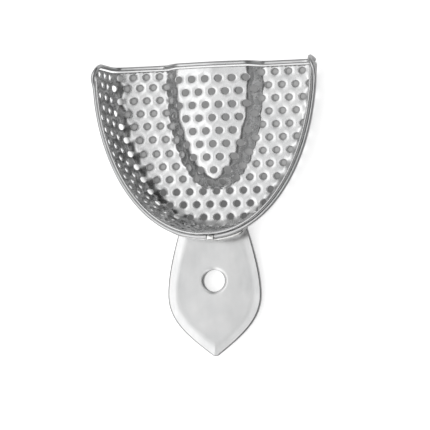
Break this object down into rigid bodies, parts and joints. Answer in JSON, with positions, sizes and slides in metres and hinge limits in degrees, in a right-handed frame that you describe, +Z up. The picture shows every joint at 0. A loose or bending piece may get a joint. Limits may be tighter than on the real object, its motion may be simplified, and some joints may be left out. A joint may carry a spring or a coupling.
{
  "type": "dental impression tray",
  "caption": "Perforated steel impression tray for the upper jaw, with a raised palate, a wire-edged rim and a leaf-shaped handle with a hanging hole.",
  "frame": {"origin": "centre of the whole tray's outline seen from above, on the surface the floor's underside rests on", "axes": "+Z up out of the open side of the tray, +Y towards the open back edge, -Y along the handle, +X to the right seen from above with the handle towards the viewer"},
  "size_m": [0.0695, 0.089, 0.0165],
  "materials": {
    "perforated_sheet": "polished stainless steel sheet with drawn, slightly wavy surface",
    "polished_steel": "bright polished stainless steel wire",
    "handle_steel": "finely buffed stainless steel plate with rolled-off edges",
    "braze": "bright silver braze, smoothed over"
  },
  "bodies": {
    "root": {"tray_shell": "perforated_sheet", "rim_wire": "polished_steel", "rim_joint_solder": "braze", "handle": "handle_steel", "handle_braze_top": "braze", "handle_braze_right": "braze", "handle_braze_left": "braze", "handle_braze_under": "braze"}
  },
  "joints": []
}
